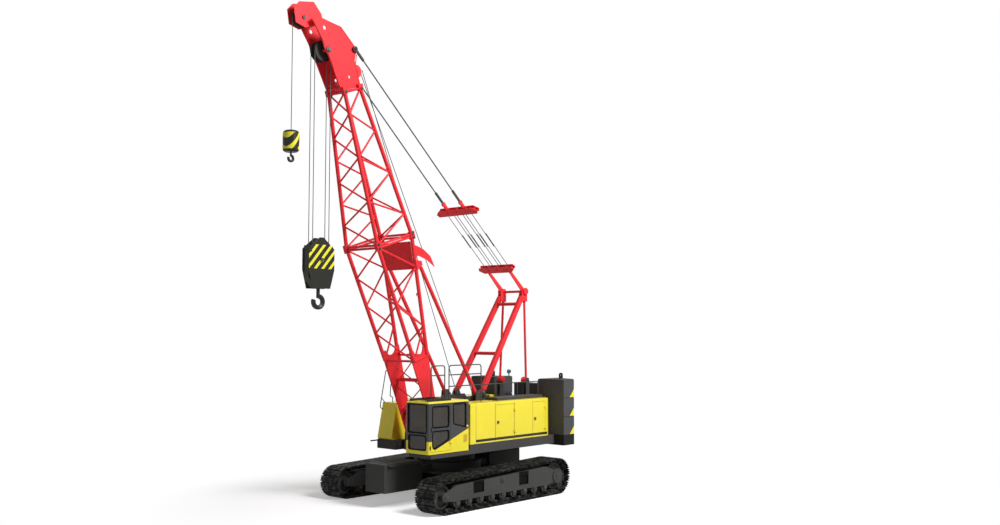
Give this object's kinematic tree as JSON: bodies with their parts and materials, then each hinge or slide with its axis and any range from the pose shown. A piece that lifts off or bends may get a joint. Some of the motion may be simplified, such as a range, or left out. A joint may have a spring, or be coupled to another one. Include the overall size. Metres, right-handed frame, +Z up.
{
  "type": "crawler crane",
  "caption": "Crawler crane with a red lattice boom, yellow cab and machinery houses, stacked tail weights and two grey tracks",
  "frame": {"origin": "on the ground under the middle of the outline, in the plane of symmetry of the tracks", "axes": "X runs forward along the tracks, Y to the cab side and Z up"},
  "size_m": [10.6597, 5, 14.2792],
  "materials": {
    "tracks_black": "worn",
    "frame_grey": "matte",
    "deck_grey": "matte",
    "machine_yellow": "satin",
    "base_black": "matte",
    "boom_red": "satin",
    "rope_steel": "worn",
    "hook_yellow": "satin",
    "hook_black": "matte",
    "window_glass": "polished",
    "seat_cloth": "matte"
  },
  "bodies": {
    "undercarriage": {"track_left": "tracks_black", "track_right": "tracks_black", "side_frame_left": "frame_grey", "side_frame_right": "frame_grey", "sprockets": "frame_grey", "idlers": "frame_grey", "track_rollers": "frame_grey", "car_body": "frame_grey", "car_weights": "frame_grey", "slew_ring": "frame_grey"},
    "superstructure": {"deck_frame": "deck_grey", "winch_frame": "deck_grey", "winch_drums": "rope_steel", "cab_floor": "machine_yellow", "cab_roof": "machine_yellow", "cab_front": "machine_yellow", "cab_rear": "machine_yellow", "cab_left": "machine_yellow", "cab_right": "machine_yellow", "cab_glass": "window_glass", "seat": "seat_cloth", "cab_fittings": "deck_grey", "house_left": "machine_yellow", "house_right": "machine_yellow", "roof_rails": "deck_grey", "front_cabinet": "machine_yellow", "engine": "base_black", "tail_base": "base_black", "tail_slabs": "base_black", "tail_lugs": "base_black", "gantry": "boom_red", "gantry_links": "boom_red", "gantry_posts": "deck_grey"},
    "boom": {"boom_foot_left": "boom_red", "boom_foot_right": "boom_red", "boom_foot_lacing": "boom_red", "boom_top_left": "boom_red", "boom_top_right": "boom_red", "boom_top_lacing": "boom_red", "boom_head": "boom_red", "aux_nose": "boom_red", "head_sheaves": "rope_steel"},
    "main_hook_block": {"main_falls": "rope_steel", "main_block": "hook_yellow", "main_hook": "hook_black"},
    "small_hook": {"aux_line": "rope_steel", "aux_ball": "hook_yellow", "aux_hook": "hook_black"},
    "pendants": {"pendants": "rope_steel", "upper_spreader": "boom_red", "upper_lines": "rope_steel"},
    "gantry_spreader": {"lower_spreader": "boom_red", "lower_lines": "rope_steel"},
    "backstops": {"backstops": "boom_red"},
    "cab_door": {"cab_door": "machine_yellow", "cab_door_glass": "window_glass"},
    "house_door_left_front": {"house_door_left_1": "machine_yellow"},
    "house_door_left_rear": {"house_door_left_2": "machine_yellow"},
    "house_door_right_front": {"house_door_right_1": "machine_yellow"},
    "house_door_right_rear": {"house_door_right_2": "machine_yellow"}
  },
  "joints": [
    {"name": "slew", "type": "hinge", "parent": "undercarriage", "child": "superstructure", "pos_m": [-0.99998, 0, 1.45], "axis": [0, 0, 1], "continuous": true},
    {"name": "boom_luff", "type": "hinge", "parent": "superstructure", "child": "boom", "pos_m": [0.05002, 0, 2], "axis": [0, -1, 0], "range_deg": [-42, 7.5]},
    {"name": "main_hook_hang", "type": "hinge", "parent": "boom", "child": "main_hook_block", "pos_m": [4.1187, 0, 12.97143], "axis": [0, -1, 0], "range_deg": [-7.5, 42]},
    {"name": "small_hook_hang", "type": "hinge", "parent": "boom", "child": "small_hook", "pos_m": [4.84368, 0, 13.75743], "axis": [0, -1, 0], "range_deg": [-7.5, 42]},
    {"name": "pendant_swing", "type": "hinge", "parent": "boom", "child": "pendants", "pos_m": [3.18667, 0, 13.17615], "axis": [0, -1, 0], "range_deg": [-0.97, 5.46]},
    {"name": "spreader_swing", "type": "hinge", "parent": "superstructure", "child": "gantry_spreader", "pos_m": [-4.12998, 0, 6.42], "axis": [0, -1, 0], "range_deg": [-36.54, 6.53]},
    {"name": "backstop_swing", "type": "hinge", "parent": "boom", "child": "backstops", "pos_m": [0.9106, 0, 7.10112], "axis": [0, -1, 0], "range_deg": [-0.53, 2.94]},
    {"name": "cab_door_hinge", "type": "hinge", "parent": "superstructure", "child": "cab_door", "pos_m": [0.57902, 1.7, 2.3], "axis": [0, 0, 1], "range_deg": [0, 90]},
    {"name": "house_door_left_front_hinge", "type": "hinge", "parent": "superstructure", "child": "house_door_left_front", "pos_m": [-2.30098, 1.67, 2.3], "axis": [0, 0, 1], "range_deg": [0, 90]},
    {"name": "house_door_left_rear_hinge", "type": "hinge", "parent": "superstructure", "child": "house_door_left_rear", "pos_m": [-3.80098, 1.67, 2.3], "axis": [0, 0, 1], "range_deg": [0, 90]},
    {"name": "house_door_right_front_hinge", "type": "hinge", "parent": "superstructure", "child": "house_door_right_front", "pos_m": [-2.30098, -1.67, 2.3], "axis": [0, 0, -1], "range_deg": [0, 90]},
    {"name": "house_door_right_rear_hinge", "type": "hinge", "parent": "superstructure", "child": "house_door_right_rear", "pos_m": [-3.80098, -1.67, 2.3], "axis": [0, 0, -1], "range_deg": [0, 90]}
  ],
  "couplings": [
    {"joint": "main_hook_hang", "follows": "boom_luff", "ratio": -1},
    {"joint": "small_hook_hang", "follows": "boom_luff", "ratio": -1},
    {"joint": "pendant_swing", "follows": "boom_luff", "ratio": -0.13},
    {"joint": "spreader_swing", "follows": "boom_luff", "ratio": 0.87},
    {"joint": "backstop_swing", "follows": "boom_luff", "ratio": -0.07}
  ]
}
